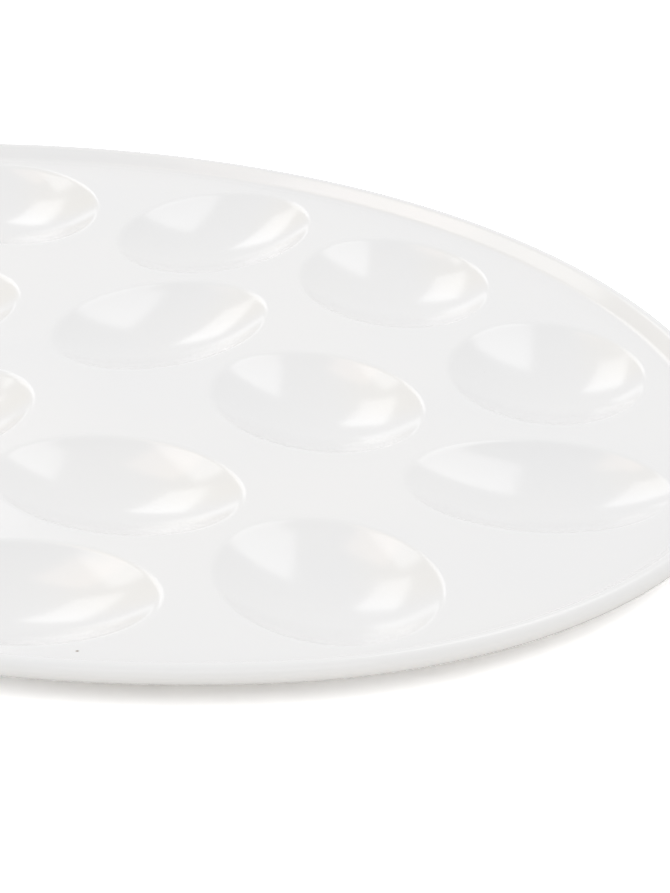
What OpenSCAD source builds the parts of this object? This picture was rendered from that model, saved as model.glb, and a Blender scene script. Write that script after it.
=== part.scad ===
// Oval deviled egg platter, glazed porcelain, standing on a bare foot ring.
// Origin at the middle of the resting face, X along the length, Y across it, Z up.

/* [Platter outline] */
// Length of the oval over the rim
platter_l = 358; // [350:1:386]
// Width of the oval over the rim
platter_w = 284; // [278:1:300]
// Radius of the outline's two end arcs, seen from above
end_r = 117; // [112:1:122]
// Height of the rim's crest above the table
overall_h = 13; // [13:0.1:16]

/* [Rim and deck] */
// How far the rim's crest stands above the flat deck
rim_rise = 3; // [2.6:0.1:3.3]
// Radius of the rounded crest
crest_r = 2.2; // [2:0.1:2.4]
// Slope of the rim's inner face, in degrees
rim_slope = 35; // [30:1:40]
// Radius of the sweep from the deck up to the rim
sweep_r = 4; // [3:0.5:6]
// Radius of the rim's round on the outside, below the crest
edge_r = 2.7; // [2.4:0.1:3]
// Slope of the rim's underside, in degrees
under_slope = 20; // [16:1:24]
// Thickness of the deck between the wells
deck_t = 4.2; // [3.6:0.1:5]

/* [Egg wells] */
// Length of a well's opening at the deck
well_l = 62; // [58:0.5:63]
// Width of a well's opening at the deck
well_w = 48; // [44:0.5:49]
// Depth of a well below the deck
well_depth = 7; // [5.5:0.1:7]
// Thickness of the wall under a well
well_wall = 2.4; // [2:0.1:2.6]
// Width of the softened edge round each opening
lip_w = 1.2; // [0.8:0.1:1.6]
// Share of a well's depth that sets how flat the softened edge is
lip_flat_share = 0.5; // [0.4:0.05:0.6]

/* [Foot ring] */
// Distance from the rim's outer edge in to the foot's outer face
foot_inset = 21; // [20:0.5:24]
// Width of the foot where it joins the underside
foot_top_w = 6.5; // [5:0.1:8]
// Width of the foot's resting face
foot_rest_w = 4; // [2.5:0.1:4.5]
// Radius of the foot's two lower edges
foot_edge_r = 0.8; // [0.5:0.1:1]

/* [Hidden] */

// Steps round a full circle, and along a quarter turn of a section
$fn = 96;
arc_steps = 8;

half_l = platter_l / 2;
half_w = platter_w / 2;
// The oval is two end arcs and two side arcs that meet without a corner
side_r = (pow(half_l, 2) + pow(half_w, 2) - platter_l * end_r) / (platter_w - 2 * end_r);
end_x = half_l - end_r;
side_y = side_r - half_w;
// Half of the turn that each side arc makes
side_turn = atan2(end_x, side_y);
// A length well beyond the oval, and a point on the line where an end arc meets a side arc
far = 2 * platter_l;
far_x = end_x + platter_l * sin(side_turn);
far_y = platter_l * cos(side_turn);
// How far neighbouring parts of the oval run on into each other
overrun = crest_r / 2;
// A hair by which the end arcs are drawn in, so that none of their faces lies on a side arc's
hair = crest_r / 1000;

deck_z = overall_h - rim_rise;
under_z = deck_z - deck_t;
crest_z = overall_h - crest_r;

// The straight part of the rim's inner face, from the crest's round to the sweep
slope_top_x = -crest_r * (1 + sin(rim_slope));
slope_drop = rim_rise - (crest_r + sweep_r) * (1 - cos(rim_slope));
slope_foot_x = slope_top_x - slope_drop / tan(rim_slope);
sweep_x = slope_foot_x - sweep_r * sin(rim_slope);
// Where the rim's sloping underside meets the flat underside
under_drop = crest_z - edge_r * cos(under_slope) - under_z;
under_x = -edge_r * (1 - sin(under_slope)) - under_drop / tan(under_slope);

// Places of the wells as shares of half the length and half the width, and each one's turn
outer_well_shares = [
    [-0.486, 0.538, 152],
    [-0.163, 0.675, 99],
    [0.170, 0.689, 146],
    [0.531, 0.530, 136],
    [0.728, 0.157, 25],
    [0.683, -0.311, 151],
    [0.413, -0.631, 26],
    [0.052, -0.706, 38],
    [-0.315, -0.640, 124],
    [-0.635, -0.345, 50],
    [-0.770, 0.130, 88]
];
inner_well_shares = [
    [0.008, 0.275, 90],
    [0.345, 0.191, 158],
    [0.309, -0.261, 5],
    [-0.041, -0.271, 90],
    [-0.300, 0.047, 96]
];
well_shares = concat(outer_well_shares, inner_well_shares);

// Points along an arc, in a section
function arc(x, z, r, from, to) = [
    for (i = [0 : arc_steps])
        let (a = from + (to - from) * i / arc_steps)
            [x + r * cos(a), z + r * sin(a)]
];

// Turns a section into a ring of radius r and keeps what lies over a plan outline
module turned(centre, r, outline) {
    intersection() {
        translate(centre)
            rotate_extrude()
                intersection() {
                    translate([r, 0])
                        children();
                    translate([0, -platter_l])
                        square(2 * platter_l);
                }
        translate([0, 0, -overall_h])
            linear_extrude(3 * overall_h)
                polygon(outline);
    }
}

// Sweeps a section round the oval; x = 0 in the section is the rim's outer edge
module round_the_oval() {
    end_outline = [
        [end_x - overrun, 0], [far_x - overrun, far_y], [far, far_y],
        [far, -far_y], [far_x - overrun, -far_y]
    ];
    side_outline = [
        [end_x, 0], [far_x, far_y], [far_x, far], [-far_x, far],
        [-far_x, far_y], [-end_x, 0], [0, -overrun]
    ];
    for (half = [0, 180])
        rotate(half) {
            turned([end_x, 0], end_r - hair, end_outline)
                children();
            turned([0, -side_y], side_r, side_outline)
                children();
        }
}

// Section of the body without its wells, from past the middle of the deck out to the rim
module body_section() {
    polygon(concat(
        [[-half_w - crest_r, under_z], [-half_w - crest_r, deck_z]],
        arc(sweep_x, deck_z + sweep_r, sweep_r, -90, rim_slope - 90),
        arc(-crest_r, crest_z, crest_r, rim_slope + 90, 0),
        arc(-edge_r, crest_z, edge_r, 0, under_slope - 90),
        [[under_x, under_z]]
    ));
}

// Bowl with its opening at z = 0, turned from one arc about a level axis along its length
module bowl(length, width, depth, grow) {
    long_r = (pow(length / 2, 2) + pow(depth, 2)) / (2 * depth);
    cross_r = (pow(width / 2, 2) + pow(depth, 2)) / (2 * depth);
    translate([0, 0, cross_r - depth])
        rotate([0, 90, 0])
            rotate_extrude()
                intersection() {
                    translate([cross_r - long_r, 0])
                        circle(long_r + grow);
                    translate([0, -long_r])
                        square([cross_r + grow, 2 * long_r]);
                }
}

// Puts a child at each well, at the deck's level
module at_wells() {
    for (place = well_shares)
        translate([place[0] * half_l, place[1] * half_w, deck_z])
            rotate(place[2])
                children();
}

// A well's hollow, with the softened edge
module well_hollow() {
    intersection() {
        union() {
            bowl(well_l, well_w, well_depth, 0);
            bowl(well_l + 2 * lip_w, well_w + 2 * lip_w, well_depth * lip_flat_share, 0);
        }
        translate([0, 0, -2 * well_depth])
            cylinder(h = 2 * well_depth + crest_r, r = well_l);
    }
}

// A well's underside, which bulges below the deck
module well_bulge() {
    intersection() {
        bowl(well_l, well_w, well_depth, well_wall);
        translate([0, 0, -deck_z])
            cylinder(h = deck_z - deck_t / 2, r = well_l);
    }
}

module bulges() {
    at_wells()
        well_bulge();
}

module platter_body() {
    color("white")
        difference() {
            union() {
                round_the_oval()
                    body_section();
                bulges();
            }
            at_wells()
                well_hollow();
        }
}

// Section of the foot, a tapered band with two rounded lower edges
module foot_section() {
    taper = (foot_top_w - foot_rest_w) / 2;
    polygon(concat(
        [[-foot_inset - foot_top_w, under_z]],
        arc(-foot_inset - foot_top_w + taper + foot_edge_r, foot_edge_r, foot_edge_r, 180, 270),
        arc(-foot_inset - taper - foot_edge_r, foot_edge_r, foot_edge_r, 270, 360),
        [[-foot_inset, under_z]]
    ));
}

module foot_ring() {
    color("linen")
        difference() {
            round_the_oval()
                foot_section();
            bulges();
        }
}

platter_body();
foot_ring();
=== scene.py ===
import math

import bmesh
import bpy
from mathutils import Matrix, Vector


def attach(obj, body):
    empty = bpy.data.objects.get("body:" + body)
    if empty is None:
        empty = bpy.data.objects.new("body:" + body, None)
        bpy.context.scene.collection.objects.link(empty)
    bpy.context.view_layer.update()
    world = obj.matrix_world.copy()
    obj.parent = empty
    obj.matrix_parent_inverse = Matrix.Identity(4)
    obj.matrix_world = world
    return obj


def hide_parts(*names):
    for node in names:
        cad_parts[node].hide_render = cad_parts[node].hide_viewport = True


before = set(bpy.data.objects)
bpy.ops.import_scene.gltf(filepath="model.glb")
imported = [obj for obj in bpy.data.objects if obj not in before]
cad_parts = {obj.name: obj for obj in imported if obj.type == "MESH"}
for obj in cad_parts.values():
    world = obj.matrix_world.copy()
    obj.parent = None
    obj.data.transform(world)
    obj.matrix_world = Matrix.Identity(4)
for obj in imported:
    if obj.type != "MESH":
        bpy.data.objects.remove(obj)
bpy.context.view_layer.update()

# Porcelain body: one slip-cast porcelain piece, an oval deck with sixteen egg wells at
# scattered turns and a low rounded rim. It is dipped in white glaze, which pools over the
# edges in the kiln and leaves them soft.
MM = 0.001
HALF_L = 179 * MM
HALF_W = 142 * MM

# The oval is two end arcs and two side arcs that meet without a corner
END_R = 117 * MM
SIDE_R = (HALF_L**2 + HALF_W**2 - 2 * HALF_L * END_R) / (2 * (HALF_W - END_R))
END_X = HALF_L - END_R
SIDE_Y = SIDE_R - HALF_W
SIDE_TURN = math.atan2(END_X, SIDE_Y)
END_SWEEP = math.pi - 2 * SIDE_TURN
END_STEPS = 72
SIDE_STEPS = 116

# Levels over the table, and the rounds and slopes of the rim; slopes are in degrees
RIM_TOP = 13 * MM
DECK = 10 * MM
UNDER = 5.8 * MM
CREST_R = 2.2 * MM
CREST_Z = RIM_TOP - CREST_R
EDGE_R = 2.7 * MM
SWEEP_R = 4 * MM
INNER_SLOPE = 35
UNDER_SLOPE = 20
SWEEP_STEPS = 8
CREST_STEPS = 14
EDGE_STEPS = 8
# The edge's round takes over this many degrees below the crest's
EDGE_START = 5

# The rim's section counts x outward from its outer edge
inner_turn = math.radians(INNER_SLOPE)
under_turn = math.radians(UNDER_SLOPE)
SLOPE_TOP = -CREST_R * (1 + math.sin(inner_turn))
SLOPE_DROP = (RIM_TOP - DECK) - (CREST_R + SWEEP_R) * (1 - math.cos(inner_turn))
SLOPE_FOOT = SLOPE_TOP - SLOPE_DROP / math.tan(inner_turn)
SWEEP_X = SLOPE_FOOT - SWEEP_R * math.sin(inner_turn)
UNDER_DROP = CREST_Z - EDGE_R * math.cos(under_turn) - UNDER
UNDER_X = -EDGE_R * (1 - math.sin(under_turn)) - UNDER_DROP / math.tan(under_turn)
# A narrow flat strip at either end of the section, where deck and underside are joined on
FLAT_HEM = 0.3 * MM
# Points nearer than this are one point
JOIN = 0.01 * MM


def arc(x, z, r, start, end, steps):
    """Points of an arc in the rim's section, from start to end in degrees."""
    turns = [math.radians(start + (end - start) * i / steps) for i in range(steps + 1)]
    return [(x + r * math.cos(t), z + r * math.sin(t)) for t in turns]


# From the deck up the sweep, over the crest and round the edge to the underside
rim_section = (
    [(SWEEP_X - FLAT_HEM, DECK)]
    + arc(SWEEP_X, DECK + SWEEP_R, SWEEP_R, -90, INNER_SLOPE - 90, SWEEP_STEPS)
    + arc(-CREST_R, CREST_Z, CREST_R, INNER_SLOPE + 90, 0, CREST_STEPS)
    + arc(-EDGE_R, CREST_Z, EDGE_R, -EDGE_START, UNDER_SLOPE - 90, EDGE_STEPS)
    + [(UNDER_X, UNDER), (UNDER_X - FLAT_HEM, UNDER)]
)

# The section starts where an end arc meets a side arc, and is spun round all four
body_form = bmesh.new()
section = [body_form.verts.new((END_X + END_R + x, 0, z)) for x, z in rim_section]
for a, b in zip(section, section[1:]):
    body_form.edges.new((a, b))
bmesh.ops.rotate(
    body_form,
    verts=body_form.verts,
    cent=(END_X, 0, 0),
    matrix=Matrix.Rotation(SIDE_TURN - math.pi / 2, 3, "Z"),
)
rim_arcs = [
    ((END_X, 0, 0), END_SWEEP, END_STEPS),
    ((0, -SIDE_Y, 0), 2 * SIDE_TURN, SIDE_STEPS),
    ((-END_X, 0, 0), END_SWEEP, END_STEPS),
    ((0, SIDE_Y, 0), 2 * SIDE_TURN, SIDE_STEPS),
]
swept = list(body_form.verts) + list(body_form.edges)
for centre, turn, steps in rim_arcs:
    swept = bmesh.ops.spin(
        body_form, geom=swept, cent=centre, axis=(0, 0, 1), angle=turn, steps=steps
    )["geom_last"]
bmesh.ops.remove_doubles(body_form, verts=body_form.verts, dist=JOIN)

# One well, turned from one arc about a level line along its length
WELL_L = 62 * MM
WELL_W = 48 * MM
WELL_DEPTH = 7 * MM
WELL_WALL = 2.4 * MM
LONG_R = ((WELL_L / 2) ** 2 + WELL_DEPTH**2) / (2 * WELL_DEPTH)
CROSS_R = ((WELL_W / 2) ** 2 + WELL_DEPTH**2) / (2 * WELL_DEPTH)
# Half the height over which the glaze rounds the lip
LIP_SOFT = 0.55 * MM
WELL_SEGMENTS = 128


def bowl_level(x, y, grow):
    """Height of the turned bowl over the deck, at a place in the well."""
    ring = CROSS_R - LONG_R + math.sqrt((LONG_R + grow) ** 2 - x * x)
    return CROSS_R - WELL_DEPTH - math.sqrt(max(ring * ring - y * y, 0))


def soft_lip(level):
    """Runs the bowl's wall into the flat deck over a soft shoulder."""
    if level >= LIP_SOFT:
        return 0.0
    if level <= -LIP_SOFT:
        return level
    return -((level - LIP_SOFT) ** 2) / (4 * LIP_SOFT)


def sunk_form(segments, rings, shape):
    """A dish built ring by ring from its rim in; each ring is (half length, half width)."""
    dish = bmesh.new()
    bmesh.ops.create_circle(dish, segments=segments, radius=1)
    verts, loop = list(dish.verts), list(dish.edges)
    half_l, half_w = 1, 1
    for k, (next_l, next_w) in enumerate(rings):
        if k > 0:
            grown = bmesh.ops.extrude_edge_only(dish, edges=loop)["geom"]
            verts = [g for g in grown if isinstance(g, bmesh.types.BMVert)]
            edges = [g for g in grown if isinstance(g, bmesh.types.BMEdge)]
            loop = [e for e in edges if all(v in verts for v in e.verts)]
        for v in verts:
            v.co.x *= next_l / half_l
            v.co.y *= next_w / half_w
            v.co.z = shape(v.co.x, v.co.y)
        half_l, half_w = next_l, next_w
    middle = bmesh.ops.extrude_edge_only(dish, edges=loop)["geom"]
    middle = [g for g in middle if isinstance(g, bmesh.types.BMVert)]
    bmesh.ops.pointmerge(dish, verts=middle, merge_co=(0, 0, shape(0, 0)))
    kept = bpy.data.meshes.new("dish")
    dish.to_mesh(kept)
    dish.free()
    return kept


def well_skin(x, y):
    """Height of the glazed surface over the table, at a place in the well."""
    return DECK + soft_lip(bowl_level(x, y, 0))


# Rings of the well's mesh: over the lip in millimetres out from the opening, then down the
# floor as shares of the last of those
LIP_STEPS = [1.8, 1.4, 1.1, 0.9, 0.7, 0.5, 0.3, 0.1, -0.1, -0.3, -0.5, -0.7, -1.0, -1.4]
FLOOR_SHARES = [0.96, 0.91, 0.85, 0.77, 0.68, 0.58, 0.47, 0.35, 0.22, 0.1]
well_rings = [(WELL_L / 2 + s * MM, WELL_W / 2 + s * MM) for s in LIP_STEPS]
inner_l, inner_w = well_rings[-1]
well_rings += [(s * inner_l, s * inner_w) for s in FLOOR_SHARES]
well_dish = sunk_form(WELL_SEGMENTS, well_rings, well_skin)

# The same bowl seen from below, a wall's thickness lower
BULGE_SOFT = 0.8 * MM
BULGE_SEGMENTS = 64
BULGE_SHARES = [1.0, 0.96, 0.9, 0.84, 0.78, 0.7, 0.6, 0.5, 0.38, 0.25, 0.1]


def bulge_skin(x, y):
    """Height of the underside, where the bowl's back bulges out of it."""
    drop = DECK + bowl_level(x, y, WELL_WALL) - UNDER
    if drop >= BULGE_SOFT:
        return UNDER
    if drop <= -BULGE_SOFT:
        return UNDER + drop
    return UNDER - (drop - BULGE_SOFT) ** 2 / (4 * BULGE_SOFT)


bulge_rings = [(WELL_L / 2 * s, WELL_W / 2 * s) for s in BULGE_SHARES]
bulge_dish = sunk_form(BULGE_SEGMENTS, bulge_rings, bulge_skin)
bulge_dish.flip_normals()

# Where each well lies, as shares of the half length and the half width, and its turn in
# degrees: eleven along the rim, then five in the middle
WELL_PLACES = [
    (-0.486, 0.538, 152),
    (-0.163, 0.675, 99),
    (0.170, 0.689, 146),
    (0.531, 0.530, 136),
    (0.728, 0.157, 25),
    (0.683, -0.311, 151),
    (0.413, -0.631, 26),
    (0.052, -0.706, 38),
    (-0.315, -0.640, 124),
    (-0.635, -0.345, 50),
    (-0.770, 0.130, 88),
    (0.008, 0.275, 90),
    (0.345, 0.191, 158),
    (0.309, -0.261, 5),
    (-0.041, -0.271, 90),
    (-0.300, 0.047, 96),
]
for share_x, share_y, turn in WELL_PLACES:
    place = Matrix.Translation((share_x * HALF_L, share_y * HALF_W, 0))
    place = place @ Matrix.Rotation(math.radians(turn), 4, "Z")
    for dish in (well_dish, bulge_dish):
        put = dish.copy()
        put.transform(place)
        body_form.from_mesh(put)
        bpy.data.meshes.remove(put)

# The flat deck and the flat underside fill the space between the rim and the wells
for level in (DECK, UNDER):
    hems = [
        e
        for e in body_form.edges
        if e.is_boundary and all(abs(v.co.z - level) < JOIN for v in e.verts)
    ]
    bmesh.ops.triangle_fill(
        body_form, use_beauty=True, use_dissolve=False, edges=hems, normal=(0, 0, 1)
    )
bmesh.ops.recalc_face_normals(body_form, faces=body_form.faces)
for face in body_form.faces:
    face.smooth = True

body_data = bpy.data.meshes.new("glazed_body")
body_form.to_mesh(body_data)
body_form.free()
glazed_body = bpy.data.objects.new("glazed_body", body_data)
bpy.context.scene.collection.objects.link(glazed_body)

# Small dark or sunken spots in a fired surface, as a mask: iron specks and pinholes
kiln_spots = bpy.data.node_groups.new("kiln_spots", "ShaderNodeTree")
kiln_spots.interface.new_socket("Place", in_out="INPUT", socket_type="NodeSocketVector")
for name in ("Per Metre", "Size", "Share"):
    kiln_spots.interface.new_socket(name, in_out="INPUT", socket_type="NodeSocketFloat")
kiln_spots.interface.new_socket("Mask", in_out="OUTPUT", socket_type="NodeSocketFloat")
nodes, links = kiln_spots.nodes, kiln_spots.links
given = nodes.new("NodeGroupInput")
cells = nodes.new("ShaderNodeTexVoronoi")
links.new(given.outputs["Place"], cells.inputs["Vector"])
links.new(given.outputs["Per Metre"], cells.inputs["Scale"])
inside = nodes.new("ShaderNodeMapRange")
inside.interpolation_type = "SMOOTHSTEP"
inside.inputs["To Min"].default_value = 1
inside.inputs["To Max"].default_value = 0
links.new(cells.outputs["Distance"], inside.inputs["Value"])
links.new(given.outputs["Size"], inside.inputs["From Max"])
chance = nodes.new("ShaderNodeSeparateColor")
links.new(cells.outputs["Color"], chance.inputs["Color"])
chosen = nodes.new("ShaderNodeMath")
chosen.operation = "LESS_THAN"
links.new(chance.outputs["Red"], chosen.inputs[0])
links.new(given.outputs["Share"], chosen.inputs[1])
shown = nodes.new("ShaderNodeMath")
shown.operation = "MULTIPLY"
links.new(inside.outputs["Result"], shown.inputs[0])
links.new(chosen.outputs["Value"], shown.inputs[1])
sent = nodes.new("NodeGroupOutput")
links.new(shown.outputs["Value"], sent.inputs["Mask"])


def add_spots(material, place, per_metre, size, share):
    """Puts the kiln's spots into a material and gives their mask."""
    tree = material.node_tree
    spots = tree.nodes.new("ShaderNodeGroup")
    spots.node_tree = kiln_spots
    tree.links.new(place, spots.inputs["Place"])
    spots.inputs["Per Metre"].default_value = per_metre
    spots.inputs["Size"].default_value = size
    spots.inputs["Share"].default_value = share
    return spots.outputs["Mask"]


def add_clouds(material, place, per_metre, detail, low=0, high=1):
    """Soft noise over the surface, as a value that runs from low to high."""
    tree = material.node_tree
    noise = tree.nodes.new("ShaderNodeTexNoise")
    noise.inputs["Scale"].default_value = per_metre
    noise.inputs["Detail"].default_value = detail
    tree.links.new(place, noise.inputs["Vector"])
    # Noise seldom leaves this middle part of its range
    spread = tree.nodes.new("ShaderNodeMapRange")
    spread.inputs["From Min"].default_value = 0.3
    spread.inputs["From Max"].default_value = 0.7
    spread.inputs["To Min"].default_value = low
    spread.inputs["To Max"].default_value = high
    tree.links.new(noise.outputs["Fac"], spread.inputs["Value"])
    return spread.outputs["Result"]


def add_blend(material, amount, first, second):
    """One colour over another by a mask; each is given, or comes from a socket."""
    tree = material.node_tree
    blend = tree.nodes.new("ShaderNodeMix")
    blend.data_type = "RGBA"
    tree.links.new(amount, blend.inputs["Factor"])
    for socket, colour in ((blend.inputs[6], first), (blend.inputs[7], second)):
        if isinstance(colour, bpy.types.NodeSocket):
            tree.links.new(colour, socket)
        else:
            socket.default_value = (*colour, 1)
    return blend.outputs[2]


def add_relief(material, height, depth, under=None):
    """A Bump node for a height of 0 to 1 that stands so deep, over the relief under it."""
    tree = material.node_tree
    bump = tree.nodes.new("ShaderNodeBump")
    bump.inputs["Distance"].default_value = depth
    tree.links.new(height, bump.inputs["Height"])
    if under:
        tree.links.new(under, bump.inputs["Normal"])
    return bump.outputs["Normal"]


# The glaze: clear gloss over white, with a breath of cream where it lies thin and a few
# iron specks that have burnt through
GLAZE_THICK = (0.757, 0.76, 0.765)
GLAZE_THIN = (0.773, 0.772, 0.77)
IRON = (0.3, 0.26, 0.22)
GLASS_IOR = 1.5
white_glaze = bpy.data.materials.new("white_glaze")
white_glaze.use_nodes = True
nodes, links = white_glaze.node_tree.nodes, white_glaze.node_tree.links
glaze = nodes["Principled BSDF"]
glaze.inputs["IOR"].default_value = GLASS_IOR
place = nodes.new("ShaderNodeTexCoord").outputs["Object"]
thin = add_clouds(white_glaze, place, per_metre=16, detail=2)
tone = add_blend(white_glaze, thin, GLAZE_THICK, GLAZE_THIN)
specks = add_spots(white_glaze, place, per_metre=90, size=0.02, share=0.06)
tone = add_blend(white_glaze, specks, tone, IRON)

# The one speck that shows from a step away, on the deck near the front rim; it is dark in
# its middle and fades out towards its edge
SPECK = Vector((102.2, -101.4, 10)) * MM
SPECK_R = 0.5 * MM
SPECK_CORE = 0.3 * SPECK_R
from_speck = nodes.new("ShaderNodeVectorMath")
from_speck.operation = "DISTANCE"
links.new(place, from_speck.inputs[0])
from_speck.inputs[1].default_value = SPECK
in_speck = nodes.new("ShaderNodeMapRange")
in_speck.inputs["From Min"].default_value = SPECK_CORE
in_speck.inputs["From Max"].default_value = SPECK_R
in_speck.inputs["To Min"].default_value = 1
in_speck.inputs["To Max"].default_value = 0
links.new(from_speck.outputs["Value"], in_speck.inputs["Value"])
tone = add_blend(white_glaze, in_speck.outputs["Result"], tone, IRON)
links.new(tone, glaze.inputs["Base Color"])
gloss = add_clouds(white_glaze, place, per_metre=70, detail=3, low=0.12, high=0.16)
links.new(gloss, glaze.inputs["Roughness"])

# Its relief: the long waves of the cast form under it, its own fine skin and pinholes
WAVE_DEPTH = 0.1 * MM
SKIN_DEPTH = 0.006 * MM
PINHOLE_DEPTH = 0.05 * MM
waves = add_clouds(white_glaze, place, per_metre=28, detail=1)
skin = add_clouds(white_glaze, place, per_metre=260, detail=2)
pinholes = add_spots(white_glaze, place, per_metre=160, size=0.03, share=0.03)
relief = add_relief(white_glaze, waves, WAVE_DEPTH)
relief = add_relief(white_glaze, skin, SKIN_DEPTH, relief)
relief = add_relief(white_glaze, pinholes, -PINHOLE_DEPTH, relief)
links.new(relief, glaze.inputs["Normal"])
glazed_body.data.materials.append(white_glaze)
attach(glazed_body, "root")
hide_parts("platter_body")

# Foot ring: the oval ring under the deck that the platter stands on, cast and fired with
# it. Its glaze is wiped off before the firing, so that the platter doesn't stick to the
# kiln's shelf, and the bare buff clay shows.
CLAY_PALE = (0.76, 0.72, 0.64)
CLAY_DARK = (0.69, 0.64, 0.55)
GRAIN_DEPTH = 0.05 * MM
bare_clay = bpy.data.materials.new("bare_clay")
bare_clay.use_nodes = True
nodes, links = bare_clay.node_tree.nodes, bare_clay.node_tree.links
clay = nodes["Principled BSDF"]
place = nodes.new("ShaderNodeTexCoord").outputs["Object"]
patches = add_clouds(bare_clay, place, per_metre=35, detail=5)
tone = add_blend(bare_clay, patches, CLAY_PALE, CLAY_DARK)
specks = add_spots(bare_clay, place, per_metre=420, size=0.16, share=0.2)
tone = add_blend(bare_clay, specks, tone, IRON)
links.new(tone, clay.inputs["Base Color"])
dryness = add_clouds(bare_clay, place, per_metre=180, detail=3, low=0.78, high=0.92)
links.new(dryness, clay.inputs["Roughness"])
grain = add_clouds(bare_clay, place, per_metre=1500, detail=4)
links.new(add_relief(bare_clay, grain, GRAIN_DEPTH), clay.inputs["Normal"])
foot_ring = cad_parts["foot_ring"]
foot_ring.data.materials.clear()
foot_ring.data.materials.append(bare_clay)

# Floor: a sheet of white paper, wide enough to run out of every view. It shows white to
# the camera and in the gloss, and throws slightly warm light back up at the platter.
FLOOR_REACH = 6
# A hair under the foot, so that the two faces never lie in one plane
FLOOR_GAP = 0.02 * MM
WARM_PAPER = (0.9, 0.875, 0.835, 1)
WHITE_PAPER = (0.95, 0.95, 0.95, 1)
# Brighter than paper can be, so that the open floor is plain white and its shadow stays
WASHED_PAPER = (2.19, 2.2, 2.23, 1)
floor_form = bmesh.new()
bmesh.ops.create_grid(floor_form, x_segments=1, y_segments=1, size=FLOOR_REACH)
bmesh.ops.translate(floor_form, verts=floor_form.verts, vec=(0, 0, -FLOOR_GAP))
floor_data = bpy.data.meshes.new("floor")
floor_form.to_mesh(floor_data)
floor_form.free()
floor = bpy.data.objects.new("floor", floor_data)
bpy.context.scene.collection.objects.link(floor)
paper = bpy.data.materials.new("paper")
paper.use_nodes = True
nodes, links = paper.node_tree.nodes, paper.node_tree.links
nodes.remove(nodes["Principled BSDF"])
warm_paper = nodes.new("ShaderNodeBsdfDiffuse")
warm_paper.inputs["Color"].default_value = WARM_PAPER
white_paper = nodes.new("ShaderNodeBsdfDiffuse")
white_paper.inputs["Color"].default_value = WHITE_PAPER
washed_paper = nodes.new("ShaderNodeBsdfDiffuse")
washed_paper.inputs["Color"].default_value = WASHED_PAPER
path = nodes.new("ShaderNodeLightPath")
seen_in_gloss = nodes.new("ShaderNodeMath")
seen_in_gloss.operation = "MAXIMUM"
links.new(path.outputs["Is Glossy Ray"], seen_in_gloss.inputs[0])
links.new(path.outputs["Is Transmission Ray"], seen_in_gloss.inputs[1])
in_gloss = nodes.new("ShaderNodeMixShader")
links.new(seen_in_gloss.outputs[0], in_gloss.inputs[0])
links.new(warm_paper.outputs[0], in_gloss.inputs[1])
links.new(white_paper.outputs[0], in_gloss.inputs[2])
to_camera = nodes.new("ShaderNodeMixShader")
links.new(path.outputs["Is Camera Ray"], to_camera.inputs[0])
links.new(in_gloss.outputs[0], to_camera.inputs[1])
links.new(washed_paper.outputs[0], to_camera.inputs[2])
links.new(to_camera.outputs[0], nodes["Material Output"].inputs["Surface"])
floor_data.materials.append(paper)

# Light: a white tent all round, with windows behind the platter and to its left, and a
# broad pale card in front. Each is seen in the glaze as a soft spot.
TENT_LEVEL = 0.94
bpy.context.scene.view_settings.view_transform = "Standard"
world = bpy.data.worlds.new("studio")
bpy.context.scene.world = world
world.use_nodes = True
nodes, links = world.node_tree.nodes, world.node_tree.links
tent = nodes["Background"]
path = nodes.new("ShaderNodeLightPath")
tent_level = nodes.new("ShaderNodeMapRange")
tent_level.inputs["To Min"].default_value = TENT_LEVEL
tent_level.inputs["To Max"].default_value = 1
links.new(path.outputs["Is Camera Ray"], tent_level.inputs["Value"])
links.new(tent_level.outputs["Result"], tent.inputs["Strength"])


def way_to(azimuth, elevation):
    """Unit vector from the platter's middle, for a direction in degrees."""
    a, e = math.radians(azimuth), math.radians(elevation)
    return Vector((math.cos(e) * math.cos(a), math.cos(e) * math.sin(a), math.sin(e)))


# The tent's left side lets warm room light through, which shows only in the gloss
TENT_WHITE = (1, 1, 1, 1)
ROOM_TINT = (1.12, 0.98, 0.72, 1)
ROOM_AZIMUTH = 182
ROOM_ELEVATION = 30
# The tint is full inside the first angle round that direction and gone at the second
ROOM_CORE = math.radians(18)
ROOM_EDGE = math.radians(38)
around = nodes.new("ShaderNodeTexCoord").outputs["Generated"]
towards_room = nodes.new("ShaderNodeVectorMath")
towards_room.operation = "DOT_PRODUCT"
links.new(around, towards_room.inputs[0])
towards_room.inputs[1].default_value = way_to(ROOM_AZIMUTH, ROOM_ELEVATION)
in_room = nodes.new("ShaderNodeMapRange")
in_room.interpolation_type = "SMOOTHSTEP"
in_room.inputs["From Min"].default_value = math.cos(ROOM_EDGE)
in_room.inputs["From Max"].default_value = math.cos(ROOM_CORE)
links.new(towards_room.outputs["Value"], in_room.inputs["Value"])
room_shows = nodes.new("ShaderNodeMath")
room_shows.operation = "MULTIPLY"
links.new(in_room.outputs["Result"], room_shows.inputs[0])
links.new(path.outputs["Is Glossy Ray"], room_shows.inputs[1])
tent_colour = nodes.new("ShaderNodeMix")
tent_colour.data_type = "RGBA"
tent_colour.inputs[6].default_value = TENT_WHITE
tent_colour.inputs[7].default_value = ROOM_TINT
links.new(room_shows.outputs["Value"], tent_colour.inputs["Factor"])
links.new(tent_colour.outputs[2], tent.inputs["Color"])

DAYLIGHT = (1, 1, 1)
LATE_SUN = (1, 0.76, 0.6)


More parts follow.
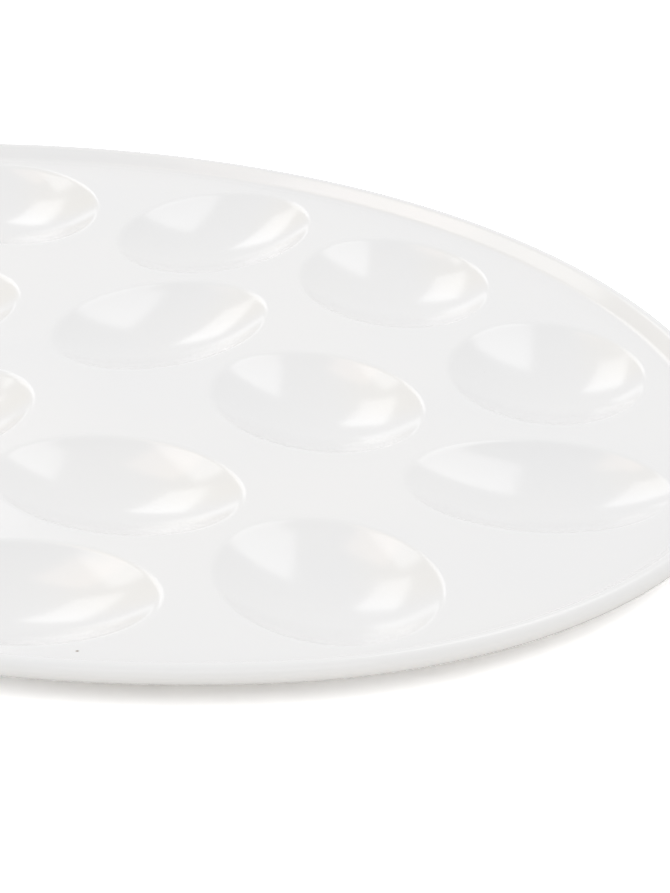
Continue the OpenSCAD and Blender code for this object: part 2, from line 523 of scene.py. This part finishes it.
def soft_box(name, way, roll, distance, size, radiance, colour=DAYLIGHT):
    """A soft lamp that faces the platter's middle from a direction and a distance.

    Its size is in metres, and its roll about its own axis in degrees.
    """
    width, height = size
    light = bpy.data.lights.new(name, "AREA")
    light.shape = "RECTANGLE"
    light.size, light.size_y = width, height
    light.energy = radiance * math.pi * width * height
    light.color = colour
    lamp = bpy.data.objects.new(name, light)
    facing = way.to_track_quat("Z", "Y").to_matrix().to_4x4()
    rolled = Matrix.Rotation(math.radians(roll), 4, "Z")
    lamp.matrix_world = Matrix.Translation(way * distance) @ facing @ rolled
    bpy.context.scene.collection.objects.link(lamp)


soft_box(
    "back_window", way_to(146.5, 31), roll=-45, distance=7.5, size=(1.4, 2.7), radiance=1.22
)
soft_box(
    "side_window", way_to(95.5, 55), roll=21, distance=2.4, size=(0.85, 1.2), radiance=1.35
)
soft_box(
    "left_window", way_to(181, 50), roll=-40, distance=6, size=(1.3, 3.3), radiance=1.6
)
soft_box(
    "top_window",
    way_to(174, 59),
    roll=0,
    distance=1.6,
    size=(0.5, 0.5),
    radiance=1.1,
    colour=LATE_SUN,
)
soft_box("low_window", way_to(141, 9), roll=0, distance=2, size=(0.6, 0.2), radiance=0.5)
soft_box("front_card", way_to(-46, 38), roll=0, distance=1.8, size=(1.4, 1.0), radiance=0.6)

# Camera: a long lens at the photograph's viewing angle, a little under a metre from the
# platter. The frame cuts off the platter's left end, as the photograph does.
SENSOR_HEIGHT = 36
LENS = 136.97
FAR_CLIP = 20
CAMERA_PLACE = Vector((528.59, -549.90, 345.11)) * MM
CAMERA_BACK = Vector((0.56538, -0.70757, 0.42388))
camera_data = bpy.data.cameras.new("camera")
camera_data.sensor_fit = "VERTICAL"
camera_data.sensor_height = SENSOR_HEIGHT
camera_data.lens = LENS
camera_data.clip_end = FAR_CLIP
camera = bpy.data.objects.new("camera", camera_data)
camera.location = CAMERA_PLACE
camera.rotation_euler = CAMERA_BACK.to_track_quat("Z", "Y").to_euler()
bpy.context.scene.collection.objects.link(camera)
bpy.context.scene.camera = camera
